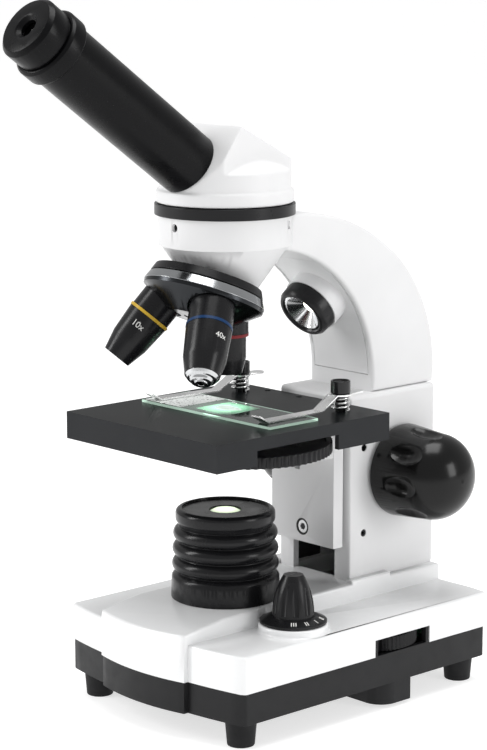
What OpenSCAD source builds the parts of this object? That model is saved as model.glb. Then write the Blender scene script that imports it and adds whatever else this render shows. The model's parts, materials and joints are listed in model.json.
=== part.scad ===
// Student monocular microscope with transmitted and incident light.
// The Z axis is the optical axis and z = 0 is the table. The eyepiece looks towards -Y.

/* [Base] */
// Overall width of the base
base_w = 104.6; // [100:0.2:110]
// Distance from the optical axis to the back of the base
base_back = 99.9; // [96:0.1:104]
// Distance from the optical axis to the front of the base
base_front = 47.7; // [46:0.1:50]
// Height of the top of the two side decks
deck_z = 38; // [36:0.5:40]
// Height of the top of the raised centre deck
plinth_z = 45; // [44:0.5:46]
// Width of the raised centre deck
plinth_w = 50; // [48:0.5:52]
// Height of the seam between the cover and the tray
seam_z = 23.3; // [22:0.1:25]
// Height of the underside of the tray
tray_z = 10.6; // [9:0.1:12]
// Wall thickness of the moulded covers
shell_t = 2.4; // [2:0.1:3]

/* [Column] */
// Width of the column
column_w = 42; // [40:0.5:46]
// Distance from the optical axis to the front of the column
column_front = 50; // [49:0.5:51]
// Distance from the optical axis to the back of the column
column_back = 100.4; // [99:0.1:102]
// Height of the top of the column
column_z = 122.5; // [120:0.5:126]
// Width of the slot that the stage slides in
slot_w = 24.5; // [22:0.5:26]

/* [Arm] */
// Width of the arm
arm_w = 37; // [34:0.5:40]
// Radius of the inner curve of the arm
arm_in_r = 58.5; // [57:0.5:60]
// Radius of the collar that carries the head
collar_r = 26.3; // [25:0.1:27]
// Height of the top of the collar
collar_z = 199.9; // [198:0.1:201]
// Downward tilt of the incident lamp
lamp_tilt = 34.2; // [30:0.1:40]

/* [Stage] */
// Width of the stage
stage_w = 89.6; // [86:0.2:92]
// Height of the top of the stage, in the focused position
stage_z = 120.2; // [119:0.1:121]
// Distance from the optical axis to the front of the stage
stage_front = 45; // [43:0.5:47]
// Distance from the optical axis to the back of the stage
stage_back = 47.8; // [46:0.1:48.6]
// Radius of the filter wheel
wheel_r = 35.5; // [33:0.5:36]
// Distance from the optical axis to each clip's post, across the stage
clip_x = 29.5; // [27:0.1:31]

/* [Nosepiece] */
// Height at which the objectives' axes cross
apex_z = 196.5; // [196:0.1:197]
// Tilt of the nosepiece's axis
nose_tilt = 23.5; // [22:0.1:25]
// Turn of the nosepiece's tilt away from straight ahead
nose_yaw = 4.4; // [0:0.1:6]
// Radius of the nosepiece's rim
nose_r = 24.6; // [24:0.1:26]
// Distance from the crossing point to each objective's seat
seat_d = 38.8; // [38:0.1:40]

/* [Head] */
// Radius of the head's body
head_r = 26; // [25:0.1:26.5]
// Angle of the eyepiece tube above the horizontal
tube_tilt = 35.3; // [30:0.1:45]
// Outer radius of the eyepiece tube
tube_r = 12.8; // [12.6:0.1:13.4]
// Radius of the eyepiece's barrel
barrel_r = 11.6; // [11.5:0.01:11.6]
// Length of the eyepiece tube outside the head
tube_l = 76.9; // [70:0.1:80]

/* [Focus] */
// Radius of the focus knobs
knob_r = 19.4; // [18:0.1:19.6]
// Teeth on the pinion
pinion_teeth = 12; // [12:1:12]
// Module of the rack and pinion
gear_module = 0.7; // [0.7:0.1:0.7]

/* [Hidden] */
$fn = 96;
eps = 0.02;

// Small fits: running clearance of a shaft, and a free gap between parts
run_fit = 0.05;
free_gap = 0.3;

// Colours
white_gloss = [0.95, 0.95, 0.94];
white_paint = [0.93, 0.93, 0.92];
black_satin = [0.06, 0.06, 0.07];
stage_grey = [0.24, 0.25, 0.26];
steel = [0.75, 0.76, 0.78];
brass = [0.78, 0.63, 0.35];
glass = [0.8, 0.92, 0.86];
board_green = [0.1, 0.4, 0.25];

// Base
half_w = base_w / 2;
half_plinth = plinth_w / 2;
corner_r = 1.8;
side_front = base_front - 3.84;
side_sweep = 0.00218;
centre_sweep = 1 / 195;
tray_inset = 0.4;
screw_pts = [[-44, -22], [44, -22], [-44, 84], [44, 84]];
foot_pts = [[-42.8, -31], [42.8, -31], [-42.8, 92.8], [42.8, 92.8]];
foot_r = 6.3;
foot_tip_r = 5.4;
nose_z = plinth_z - 3.3;
nose_run = 24;
ledge_z = 46.5;

// Battery compartment
battery_y0 = 37;
battery_y1 = 54.5;
battery_z = 1.6;
battery_t = 1.6;
battery_r = 8;
battery_x = 46.4;
cover_z0 = 2.4;
cover_z1 = 3.9;
cell_r = 5.25;
cell_l = 44.5;
cell_y = (battery_y0 + battery_y1) / 2;
cell_z = cover_z1 + cell_r + 0.3;

// Controls
window_y0 = 33.4;
window_y1 = 65.2;
window_z = 30.3;
dimmer_x = 31.4;
dimmer_y = (window_y0 + window_y1) / 2;
dimmer_r = 21;
dimmer_z = 24;
dimmer_t = 5.4;
board_z = 20;
board_t = 1.6;
selector_x = 36.8;
selector_y = 2.6;
selector_r = 13.4;
selector_top = 60.4;
scoop_r = 14.4;
pad_r = 14;
pad_z = 41;
control_pin_r = 3;

// Illuminator
lamp_r = 22;
lamp_top = 81.5;
lens_r = 8;
rib_zs = [58.7, 65, 71.3];
rib_rs = [21.6, 21.4, 21.1];
rib_t = 3;
valley_r = 19.3;
led_z = 52;
house_r = 16.5;
rim_r = 18.1;

// Focus drive
pitch_r = gear_module * pinion_teeth / 2;
shaft_y = 79;
shaft_z = 88.6;
shaft_r = 2.5;
shaft_end = 46;
bush_r = 6;
knob_x = 22.3;
knob_barrel = 18.7;
knob_l = 34.3;
knob_neck = 1.4;
dimples = 8;
dimple_turn = 7.5;
dimple_r = 7.2;
dimple_bow = 18.4;
dimple_d = 1.9;
slider_z0 = 62;
slider_z1 = 105;
rail_back = 66;
tee_back = 70;
rack_pitch_y = shaft_y - pitch_r;
rack_tip = 0.6 * gear_module;
rack_root = 1.25 * gear_module;
tooth_pitch = PI * gear_module;
pressure = 20;
backlash = 0.12;

// Arm
outer_low = [36.4, 128.2];
outer_low_r = 65.9;
outer_high = [21, 111];
outer_high_r = 88.7;
inner_c = [6.9, 127.5];
cover_w = 31;
seam_w = 0.25;
cover_t = 1.5;
lamp_y = 41.9;
lamp_z = 155;
lamp_front_r = 10.5;
lamp_back_r = 11.9;
lamp_l = 6.7;
boss_r = 12.4;
spigot_r = 16;
optic_r = 9;
cone_z = 188;
cone_half = 35;
screw_z = 196.2;

// Stage
plate_t = 4;
skirt_z = stage_z - 11;
skirt_t = 2.2;
notch_y0 = -24.3;
notch_y1 = 19.3;
notch_z = 115.2;
clip_y = 35.4;
wheel_x = 12.5;
wheel_y = -2;
wheel_z = 107;
wheel_t = 4.4;
wheel_ribs = 72;
filter_r = 4.5;
filters = 5;
aperture_r = norm([wheel_x, wheel_y]);
aperture_a = atan2(-wheel_y, -wheel_x);
aux_x = [-22.1, -3.1];
aux_y = 44.1;
aux_r = 1.3;
slide_l = 76;
slide_w = 26;
slide_t = 1.15;
slide_x = -0.75;
slide_y = 2.3;
post_r = 2;
clip_z = 126.8;
clip_t = 0.7;
clip_w = 5.4;
clip_tail = 12;
press_z = stage_z + slide_t + 0.25;

// Nosepiece, as distances from the crossing point along the axis
nose_top = 22.9;
nose_split = 26.3;
nose_gap = 0.4;
nose_rim = 30.2;
lip_t = 1.5;
band_in_r = 20.5;
nose_end = 40;
thread_r = 6.4;

// Head
rim_z = 217.3;
collar_top = 209.9;
head_z = 204.7;
axis_z = 206.8;
face_d = 23.8;
side_x = 19;
ridge_y = -8.7;
roof_slope = 27.3;
shelf_slope = 35;
socket_r = 9.6;
socket_d = 12;
barrel_l = 25;
flange_l = 7.5;
cap_l = 10.2;
flange_r = 14.3;
cap_r = 12.6;
eye_r = 3.4;

// ---------- helpers ----------

// Points of an arc about c, from angle a0 to a1
function arc(c, r, a0, a1, n = 24) =
    [for (i = [0:n]) let (a = a0 + (a1 - a0) * i / n) c + r * [cos(a), sin(a)]];

// Extrudes an outline drawn in Y and Z along X, centred
module along_x(w) {
    rotate([90, 0, 90]) linear_extrude(w, center = true) children();
}

// A box given by its two corners
module block(a, b) {
    translate(a) cube(b - a);
}

// A ring with its axis along Z
module ring(r_out, r_in, h) {
    difference() {
        cylinder(h, r = r_out);
        translate([0, 0, -eps]) cylinder(h + 2 * eps, r = r_in);
    }
}

// ---------- base ----------

// Plan of the base's side decks, drawn in by an inset
function side_plan(inset) =
    let (w = half_w - inset, back = base_back - inset, r = corner_r,
        front = function(x) -side_front + side_sweep * x * x + inset)
    concat(
        [for (i = [-10:10]) let (x = (w - r) * i / 10) [x, front(x)]],
        arc([w - r, front(w) + r], r, -75, 0, 6),
        arc([w - r, back - r], r, 0, 90, 6),
        arc([r - w, back - r], r, 90, 180, 6),
        arc([r - w, front(w) + r], r, 180, 255, 6)
    );

// Plan of the raised centre deck, drawn in by an inset
function centre_plan(inset) =
    let (w = half_plinth - inset)
    concat(
        [for (i = [-8:8]) let (x = w * i / 8) [x, centre_sweep * x * x - base_front + inset]],
        [[w, base_back - inset], [-w, base_back - inset]]
    );

// Side view of the centre deck, which falls towards the front
function centre_side(inset) = [
    [-base_front - 5, seam_z - 5], [base_back + 5, seam_z - 5], [base_back + 5, plinth_z - inset],
    [nose_run - base_front, plinth_z - inset], [-base_front - 5, nose_z - 0.7 - inset]
];

module centre_deck(inset, z0) {
    intersection() {
        translate([0, 0, z0]) linear_extrude(plinth_z) polygon(centre_plan(inset));
        along_x(2 * base_w) polygon(centre_side(inset));
    }
}

module base_cover() color(white_gloss) {
    difference() {
        union() {
            translate([0, 0, seam_z]) linear_extrude(deck_z - seam_z) polygon(side_plan(0));
            centre_deck(0, seam_z);
            translate([selector_x, selector_y, deck_z - 1]) cylinder(pad_z - deck_z + 1, r = pad_r);
            for (s = [-1, 1]) mirror([s < 0 ? 1 : 0, 0, 0])
                block([column_w / 2 + 0.1, column_front - 2, plinth_z - 1], [half_plinth, 70.6, ledge_z]);
        }
        difference() {
            translate([0, 0, seam_z - eps])
                linear_extrude(deck_z - seam_z - shell_t) polygon(side_plan(shell_t));
            for (p = screw_pts) translate([p.x, p.y, seam_z - 1]) cylinder(deck_z, r = 4);
        }
        difference() {
            centre_deck(shell_t, deck_z - shell_t - 1);
            translate([selector_x, selector_y, seam_z]) cylinder(40, r = scoop_r + shell_t);
        }
        translate([selector_x, selector_y, pad_z]) cylinder(20, r = scoop_r);
        translate([selector_x, selector_y, seam_z]) cylinder(20, r = control_pin_r + free_gap);
        translate([0, 0, seam_z]) cylinder(40, r = optic_r);
        for (p = screw_pts) translate([p.x, p.y, seam_z - 1]) cylinder(9, r = 1.55);
        block([half_w - 6, window_y0, seam_z - 1], [half_w + 1, window_y1, window_z]);
        block([-17.5, column_front + 3.1, seam_z], [17.5, column_back - 10, plinth_z + 1]);
    }
}

module base_tray() color(black_satin) {
    wall_x = half_w - tray_inset;
    difference() {
        union() {
            difference() {
                translate([0, 0, tray_z]) linear_extrude(seam_z - tray_z) {
                    polygon(side_plan(tray_inset));
                    polygon(centre_plan(tray_inset));
                }
                translate([0, 0, tray_z + shell_t])
                    linear_extrude(seam_z) polygon(side_plan(tray_inset + shell_t));
            }
            block([wall_x - shell_t, window_y0 + 0.2, tray_z + 1], [wall_x, window_y1 - 0.2, window_z - 0.2]);
            for (p = screw_pts) translate([p.x, p.y, tray_z]) cylinder(seam_z - tray_z, r = 4);
            for (x = [-34, 34], y = [30, 76]) translate([x, y, tray_z]) cylinder(board_z - tray_z, r = 3);
            translate([0, 0, battery_z]) linear_extrude(tray_z - battery_z + 1) polygon(battery_plan());
        }
        block([-battery_x, battery_y0 + battery_t, battery_z - 1],
            [battery_x, battery_y1 - battery_t, tray_z + shell_t + 1]);
        block([-battery_x, battery_y0 + battery_t, battery_z - 1],
            [battery_x, battery_y1 + 1, cover_z1 + 0.2]);
        for (s = [-1, 1]) block([s * battery_x - 1.4, battery_y0 + battery_t, cover_z0 + 0.3],
            [s * battery_x + 1.4, battery_y1 + 1, cover_z1 + 0.2]);
        for (p = screw_pts) translate([p.x, p.y, 0]) {
            cylinder(40, r = 1.7);
            translate([0, 0, tray_z - 1]) cylinder(3.2, r = 3.2);
        }
        block([half_w - 10, dimmer_y - 14, dimmer_z - 0.6], [half_w + 1, dimmer_y + 14, window_z]);
    }
}

// Plan of the battery box under the tray, with two rounded front corners
function battery_plan() =
    let (w = half_w - tray_inset, r = battery_r)
    concat([[w, battery_y1], [-w, battery_y1]],
        arc([r - w, battery_y0 + r], r, 180, 270, 10), arc([w - r, battery_y0 + r], r, 270, 360, 10));

module rubber_feet() color(black_satin) {
    for (p = foot_pts) translate([p.x, p.y, 0]) cylinder(tray_z, r1 = foot_tip_r, r2 = foot_r);
}

module base_screws() color(steel) {
    for (p = screw_pts) translate([p.x, p.y, tray_z + 0.4]) {
        difference() {
            cylinder(1.7, r = 2.9);
            translate([-0.4, -2, -eps]) cube([0.8, 4, 0.8]);
        }
        cylinder(20, r = 1.5);
    }
}

module battery_cover() color(black_satin) {
    grip_t = 0.6;
    block([0.2 - battery_x, battery_y0 + battery_t + 0.2, cover_z0], [battery_x - 0.2, battery_y1, cover_z1]);
    block([-battery_x - 1, battery_y0 + battery_t + 0.4, cover_z0 + 0.5],
        [battery_x + 1, battery_y1, cover_z1]);
    for (y = [46, 48, 50]) block([-8, y, cover_z0 - grip_t], [8, y + 0.8, cover_z0 + 0.1]);
}

module battery_cells() color("goldenrod") {
    for (x = [-cell_l, 0.2]) translate([x, cell_y, cell_z]) rotate([0, 90, 0]) {
        cylinder(cell_l - 1, r = cell_r);
        cylinder(cell_l, r = 1.9);
    }
}

module battery_contacts() color(steel) {
    plate_t = 0.5;
    reach = battery_x - cell_l - plate_t;
    for (s = [-1, 1]) translate([s * (battery_x - plate_t / 2), cell_y, cell_z])
        cube([plate_t, 8, 10], center = true);
    translate([plate_t - battery_x, cell_y, cell_z]) rotate([0, 90, 0]) ring(2.4, 1.7, reach);
    translate([battery_x - plate_t, cell_y, cell_z]) rotate([0, -90, 0]) cylinder(reach - 0.2, r = 2.2);
}

module circuit_board() color(board_green) {
    translate([-38, 26, board_z]) cube([76, 54, board_t]);
    translate([-20, 60, board_z + board_t]) cube([9, 9, 3]);
    translate([-4, 60, board_z + board_t]) cube([6, 12, 2]);
    translate([8, 66, board_z + board_t]) cylinder(6, r = 3.2);
}

module dimmer_control() color(stage_grey) {
    translate([dimmer_x, dimmer_y, board_z + board_t]) {
        translate([-6, -6, 0]) cube([12, 12, dimmer_z - board_z - board_t - 0.4]);
        cylinder(dimmer_z + dimmer_t - board_z - board_t + 1, r = control_pin_r);
    }
}

module dimmer_wheel() color(black_satin) {
    ribs = 66;
    rib_d = 0.8;
    translate([dimmer_x, dimmer_y, dimmer_z]) difference() {
        linear_extrude(dimmer_t)
            polygon([for (i = [0:2 * ribs - 1])
                (dimmer_r - (i % 2) * rib_d) * [cos(180 * i / ribs), sin(180 * i / ribs)]]);
        translate([0, 0, -1]) cylinder(dimmer_t + 2, r = control_pin_r + run_fit);
    }
}

module selector_switch() color(stage_grey) {
    translate([selector_x, selector_y, 0]) difference() {
        union() {
            translate([-7, -7, 26]) cube([14, 14, 7]);
            translate([0, 0, 33]) cylinder(deck_z - shell_t - 33 - 0.1, r = 5);
        }
        translate([0, 0, 28]) cylinder(12, r = control_pin_r + run_fit);
    }
}

module selector_knob() color(black_satin) {
    z0 = pad_z + free_gap;
    body_r = 8.3;
    flutes = 10;
    translate([selector_x, selector_y, 0]) {
        translate([0, 0, 28.4]) cylinder(z0 - 28.4 + 1, r = control_pin_r);
        difference() {
            rotate_extrude() polygon(concat(
                [[0, z0], [selector_r, z0], [selector_r, z0 + 0.9], [body_r + 1, z0 + 2.6]],
                [for (i = [0:10]) let (t = i / 10)
                    [body_r - 4.4 * pow(t, 2.2), z0 + 2.6 + (selector_top - z0 - 2.6) * t]],
                [[0, selector_top]]));
            for (i = [0:flutes - 1]) rotate([0, 0, 360 * i / flutes])
                translate([body_r + 1.1, 0, z0 + 4]) rotate([0, -9, 0]) cylinder(20, r = 1.7);
        }
    }
}

// ---------- illuminator ----------

// One rounded rib of the lamp house
function rib(i) = arc([rib_rs[i] - rib_t, rib_zs[i]], rib_t, -76, 76, 8);

module illuminator_housing() color(black_satin) {
    difference() {
        rotate_extrude() polygon(concat(
            [[0, plinth_z], [lamp_r, plinth_z], [lamp_r - 0.2, 53.6], [lamp_r - 0.9, 54.6],
                [valley_r + 0.2, 55.5]],
            rib(0), rib(1), rib(2), [[valley_r - 0.2, 74.6]],
            arc([rim_r, 77.4], 2, -50, 0, 4), arc([rim_r, lamp_top - 2], 2, 0, 90, 6), [[0, lamp_top]]));
        translate([0, 0, plinth_z - 1]) cylinder(72.5 - plinth_z, r = house_r);
        translate([0, 0, 70]) cylinder(8, r = lens_r + run_fit);
        translate([0, 0, 70]) cylinder(20, r = lens_r - 1.6);
        translate([0, 0, lamp_top - 0.9]) cylinder(2, r = rim_r - 0.6);
    }
}

module illuminator_lens() color(glass) {
    translate([0, 0, 72.5]) cylinder(5, r = lens_r);
    translate([0, 0, 77.4]) cylinder(2.4, r = 6.2);
    translate([0, 0, 79.8]) cylinder(0.8, r1 = 6.2, r2 = 4.6);
}

module led_emitters() color("khaki") {
    translate([0, 0, led_z]) {
        cylinder(1.6, r = house_r);
        translate([0, 0, 1.6]) cylinder(2.4, r = 2.5);
    }
    at_lamp() translate([0, 0, -lamp_l]) {
        cylinder(1, r = 2.8);
        cylinder(2, r = 1.2);
    }
}

// ---------- column and arm ----------

module column_block() color(white_paint) {
    wall = 3;
    half = column_w / 2;
    difference() {
        block([-half, column_front, plinth_z], [half, column_back, column_z]);
        block([wall - half, column_front + wall, plinth_z - 1],
            [half - wall, column_back - wall, column_z - wall]);
        block([-slot_w / 2, column_front - 1, plinth_z - 1], [slot_w / 2, column_front + wall + 1, 116]);
        translate([0, shaft_y, shaft_z]) rotate([0, 90, 0]) cylinder(60, r = bush_r, center = true);
        for (s = [-1, 1], z = guide_screw_zs) translate([s * half, guide_screw_y, z])
            rotate([0, 90, 0]) cylinder(8, r = 1.6, center = true);
        translate([0, 82, column_z - wall - 1]) cylinder(wall + 2, r = 4);
    }
}

guide_screw_y = 58;
guide_screw_zs = [64.5, 100.5];

module guide_rails() color(stage_grey) {
    for (s = [-1, 1]) mirror([s < 0 ? 1 : 0, 0, 0])
        block([slot_w / 2 + 0.05, column_front + 3, plinth_z + 3], [column_w / 2 - 3.2, rail_back, 115]);
}

module guide_screws() color(black_satin) {
    for (s = [-1, 1], z = guide_screw_zs)
        translate([s * (column_w / 2 - 3.1), guide_screw_y, z]) rotate([0, s * 90, 0]) difference() {
            cylinder(2.7, r = 1.5);
            translate([0, 0, 1.6]) cylinder(2, r = 0.8, $fn = 6);
        }
}

// Side view of the arm in Y and Z
module arm_profile() {
    polygon(concat(
        [[inner_c.x + arm_in_r, column_z]],
        arc(inner_c, arm_in_r, 0, 88, 36),
        [[2, 186], [2, collar_z]],
        arc(outer_high, outer_high_r, 86, 51.5, 16),
        arc(outer_low, outer_low_r, 52, 0, 28),
        [[outer_low.x + outer_low_r - 0.6, column_z]]));
}

// Strip along the inner face of the arm
module inner_strip(t, a0, a1) {
    polygon(concat(arc(inner_c, arm_in_r - eps, a0, a1, 24), arc(inner_c, arm_in_r + t, a1, a0, 24)));
}

// Frame on the lamp's axis, with its origin at the front of the bezel and +Z pointing out of it
module at_lamp() {
    translate([0, lamp_y, lamp_z]) rotate([90 + lamp_tilt, 0, 0]) children();
}

// Frame on the nosepiece's axis, with +Z up the axis
module at_nose() {
    translate([0, 0, apex_z]) rotate([0, 0, nose_yaw]) rotate([-nose_tilt, 0, 0]) children();
}

// Frame on the axis of objective number k, with its origin at the crossing point
module at_objective(k) {
    at_nose() rotate([0, 0, 120 * k]) rotate([nose_tilt, 0, 0]) children();
}

module arm() color(white_paint) {
    cone_l = 26;
    difference() {
        union() {
            along_x(arm_w) arm_profile();
            translate([0, 0, cone_z]) cylinder(collar_z - cone_z, r = collar_r);
            translate([0, 0, cone_z - cone_l])
                cylinder(cone_l, r1 = collar_r - 0.8 - cone_l * tan(cone_half), r2 = collar_r - 0.8);
        }
        at_nose() translate([0, 0, -nose_top - 60]) cylinder(60, r = 60);
        along_x(cover_w + 2 * seam_w) inner_strip(cover_t + 0.03, 1.7, 62.3);
        translate([0, 0, cone_z + 1]) cylinder(20, r = spigot_r + run_fit);
        translate([0, 0, cone_z - 40]) cylinder(60, r = optic_r);
        for (a = [-90, 30, 150]) rotate([0, 0, a]) translate([spigot_r, 0, screw_z])
            rotate([0, 90, 0]) cylinder(20, r = 1.6);
        at_lamp() translate([0, 0, -24]) cylinder(12, r = 3);
    }
}

module arm_cover() color(white_paint) {
    difference() {
        union() {
            along_x(cover_w) inner_strip(cover_t, 2, 62);
            at_lamp() translate([0, 0, -17]) cylinder(17 - lamp_l, r = boss_r);
        }
        along_x(60) difference() {
            translate(inner_c) circle(r = arm_in_r + 40);
            translate(inner_c) circle(r = arm_in_r + cover_t);
        }
        at_lamp() translate([0, 0, -24]) cylinder(30, r = 3);
    }
}

module lamp_bezel() color(black_satin) {
    at_lamp() difference() {
        union() {
            translate([0, 0, -lamp_l]) cylinder(lamp_l - 1.6, r1 = lamp_back_r, r2 = lamp_back_r - 0.3);
            translate([0, 0, -1.6]) cylinder(1.6, r1 = lamp_back_r - 0.3, r2 = lamp_front_r);
        }
        translate([0, 0, -lamp_l - eps]) cylinder(lamp_l + 1, r = 9.2);
    }
}

module lamp_reflector() color(steel) {
    at_lamp() difference() {
        translate([0, 0, -lamp_l]) cylinder(lamp_l - 0.8, r = 9.2);
        translate([0, 0, -lamp_l + 1.2]) cylinder(lamp_l, r1 = 3, r2 = 10);
        translate([0, 0, -lamp_l - eps]) cylinder(3, r = 2.9);
    }
}

module head_ring() color(black_satin) {
    translate([0, 0, collar_z]) ring(27.8, spigot_r + 1, head_z - collar_z - free_gap);
}

module head_screws() color(black_satin) {
    for (a = [-90, 30, 150]) rotate([0, 0, a]) translate([spigot_r + 0.4, 0, screw_z])
        rotate([0, 90, 0]) difference() {
            cylinder(collar_r - spigot_r - 1.6, r = 1.5);
            translate([0, 0, collar_r - spigot_r - 3]) cylinder(3, r = 0.75, $fn = 6);
        }
}

// ---------- focus drive ----------

// Radius and angle of a point on an involute of base radius rb
function involute(rb, r) = let (a = acos(min(1, rb / r))) tan(a) * 180 / PI - a;

// Outline of one pinion tooth, centred on angle c
function tooth(c) =
    let (rb = pitch_r * cos(pressure),
        tip = pitch_r + gear_module,
        root = pitch_r - 1.2 * gear_module,
        half = 90 / pinion_teeth - backlash / 2 / pitch_r * 180 / PI + involute(rb, pitch_r),
        flank = [for (i = [0:5]) let (r = rb + (tip - rb) * i / 5) [r, half - involute(rb, r)]])
    concat([root * [cos(c - half), sin(c - half)]],
        [for (p = flank) p[0] * [cos(c - p[1]), sin(c - p[1])]],
        [for (i = [5:-1:0]) flank[i][0] * [cos(c + flank[i][1]), sin(c + flank[i][1])]],
        [root * [cos(c + half), sin(c + half)]]);

module pinion_shaft() color(steel) {
    translate([0, shaft_y, shaft_z]) rotate([0, 90, 0]) cylinder(2 * shaft_end, r = shaft_r, center = true);
}

module pinion_gear() color(brass) {
    width = 7;
    translate([0, shaft_y, shaft_z]) rotate([90, 0, 90]) difference() {
        linear_extrude(width, center = true)
            polygon([for (i = [0:pinion_teeth - 1], p = tooth(180 + 360 * i / pinion_teeth)) p]);
        cylinder(20, r = shaft_r, center = true);
    }
}

// A rack tooth stands at the pinion's height in a gap that is half a pitch away
module focus_rack() color(brass) {
    width = 8;
    half_at = function(d) tooth_pitch / 4 - backlash / 2 - d * tan(pressure);
    count = floor((slider_z1 - shaft_z) / tooth_pitch);
    count_low = floor((shaft_z - slider_z0) / tooth_pitch);
    along_x(width) {
        translate([tee_back, slider_z0])
            square([rack_pitch_y - rack_root - tee_back, slider_z1 - slider_z0]);
        for (i = [-count_low:count - 1]) translate([rack_pitch_y, shaft_z + (i + 0.5) * tooth_pitch])
            polygon([
                [-rack_root - eps, -half_at(-rack_root)], [rack_tip, -half_at(rack_tip)],
                [rack_tip, half_at(rack_tip)], [-rack_root - eps, half_at(-rack_root)]
            ]);
    }
}

module shaft_bushes() color(brass) {
    for (s = [-1, 1]) mirror([s < 0 ? 1 : 0, 0, 0])
        translate([column_w / 2 - 3.5, shaft_y, shaft_z]) rotate([0, 90, 0]) difference() {
            union() {
                cylinder(3.5, r = bush_r);
                translate([0, 0, 3.5]) cylinder(1, r = bush_r + 1.5);
            }
            translate([0, 0, -1]) cylinder(8, r = shaft_r + run_fit);
        }
}

// A lemon-shaped cutter: a finger dimple is where it meets the knob
module dimple() {
    reach = acos((dimple_bow - dimple_r) / dimple_bow);
    rotate_extrude($fn = 48) polygon(arc([dimple_r - dimple_bow, 0], dimple_bow, -reach, reach, 12));
}

module focus_knob() {
    nose_r = knob_r - knob_neck;
    translate([knob_x, shaft_y, shaft_z]) rotate([0, 90, 0]) difference() {
        rotate_extrude() polygon(concat(
            [[0, 0], [knob_r - 1, 0], [knob_r - 0.2, 0.4], [knob_r, 1.2]],
            [for (i = [0:14]) let (a = 90 * i / 14)
                [nose_r * cos(a), knob_barrel + (knob_l - knob_barrel) * sin(a)]]));
        translate([0, 0, -1]) cylinder(shaft_end - knob_x + 1, r = shaft_r);
        for (i = [0:dimples - 1]) rotate([0, 0, 360 * i / dimples + dimple_turn])
            translate([nose_r + dimple_r - dimple_d, 0, knob_barrel - 2.5]) rotate([0, -8, 0]) dimple();
    }
}

module right_focus_knob() color(black_satin) focus_knob();

module left_focus_knob() color(black_satin) mirror([1, 0, 0]) focus_knob();

// ---------- stage ----------

module stage_plate() color(stage_grey) {
    half = stage_w / 2;
    difference() {
        block([-half, -stage_front, skirt_z], [half, stage_back, stage_z]);
        block([skirt_t - half, skirt_t - stage_front, skirt_z - 1],
            [half - skirt_t, stage_back - skirt_t, stage_z - plate_t]);
        block([half - 2 * skirt_t, notch_y0, skirt_z - 1], [half + 1, notch_y1, notch_z]);
        cylinder(200, r = 8);
        for (x = aux_x) translate([x, aux_y, skirt_z]) cylinder(20, r = aux_r);
        for (s = [-1, 1]) translate([s * clip_x, clip_y, skirt_z]) cylinder(20, r = post_r);
        translate([wheel_x, wheel_y, skirt_z]) cylinder(stage_z - skirt_z - 1.4, r = 2.5);
    }
}

module stage_bracket() color(white_paint) {
    z1 = stage_z - plate_t;
    difference() {
        union() {
            block([-18.3, 43.1, 59.7], [18.3, 48.4, skirt_z]);
            for (s = [-1, 1]) translate([s * 14.5, 0, 0]) block([-3.5, 38, 98], [3.5, 43.2, z1]);
            block([-18, 38, z1 - 4], [18, stage_back - skirt_t - 0.2, z1]);
        }
        translate([0, 0, 66]) rotate([-90, 0, 0]) {
            cylinder(60, r = 1.6);
            translate([0, 0, 43]) cylinder(2, r = 3.6);
        }
        for (x = aux_x) translate([x, aux_y, 90]) cylinder(40, r = aux_r + 0.5);
    }
}

module focus_slider() color(steel) {
    half = slot_w / 2 - 0.15;
    difference() {
        union() {
            block([-half, 48.4, slider_z0], [half, rail_back + 0.4, slider_z1]);
            block([-17, rail_back + 0.2, slider_z0], [17, tee_back, slider_z1]);
        }
        translate([0, 40, 66]) rotate([-90, 0, 0]) cylinder(22, r = 1.6);
    }
}

module bracket_screw() color(steel) {
    translate([0, 0, 66]) rotate([-90, 0, 0]) {
        translate([0, 0, 43.4]) difference() {
            cylinder(1.6, r = 2.7);
            translate([0, 0, -eps]) cylinder(1, r = 1.5, $fn = 6);
        }
        translate([0, 0, 44.9]) cylinder(15, r = 1.5);
    }
}

module specimen_slide() color(glass) {
    translate([slide_x - slide_l / 2, slide_y - slide_w / 2, stage_z]) cube([slide_l, slide_w, slide_t]);
}

module slide_label() color("white") {
    translate([slide_x - slide_l / 2 + 1, slide_y - slide_w / 2 + 1, stage_z + slide_t])
        cube([22, slide_w - 2, 0.12]);
}

module cover_slip() color(glass) {
    translate([slide_x - 9, slide_y - 9, stage_z + slide_t]) cube([18, 18, 0.17]);
}

module wheel_axle() color(steel) {
    translate([wheel_x, wheel_y, 0]) {
        translate([0, 0, wheel_z - 0.2]) cylinder(stage_z - 1.4 - wheel_z + 0.2, r = 2.5);
        translate([0, 0, wheel_z - 1.4]) cylinder(1.2, r = 5);
    }
}

module filter_wheel() color(black_satin) {
    translate([wheel_x, wheel_y, wheel_z]) difference() {
        linear_extrude(wheel_t)
            polygon([for (i = [0:4 * wheel_ribs - 1])
                (wheel_r - (i % 4 < 2 ? 0 : 0.7)) * [cos(90 * i / wheel_ribs), sin(90 * i / wheel_ribs)]]);
        translate([0, 0, wheel_t - 1.2]) ring(wheel_r - 2.5, 7, 2);
        translate([0, 0, -1]) cylinder(wheel_t + 2, r = 2.5 + run_fit);
        for (i = [0:filters - 1]) rotate([0, 0, aperture_a + 360 * i / filters])
            translate([aperture_r, 0, -1]) cylinder(wheel_t + 2, r = filter_r);
    }
}

module colour_filters() color("skyblue") {
    translate([wheel_x, wheel_y, wheel_z]) for (i = [1:filters - 1])
        rotate([0, 0, aperture_a + 360 * i / filters]) translate([aperture_r, 0, 1])
            cylinder(1.5, r = filter_r);
}

// Side view of a stage clip: the tail is at +Y, the sprung end at -Y
module clip_profile() {
    low = press_z;
    high = clip_z;
    top = [
        [clip_tail, high], [31 - clip_y, high], [22.5 - clip_y, low], [-7 - clip_y, low],
        [-11.5 - clip_y, low + 2.6]
    ];
    polygon(concat(top, [for (i = [4:-1:0]) top[i] + [0, clip_t]]));
}

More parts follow.
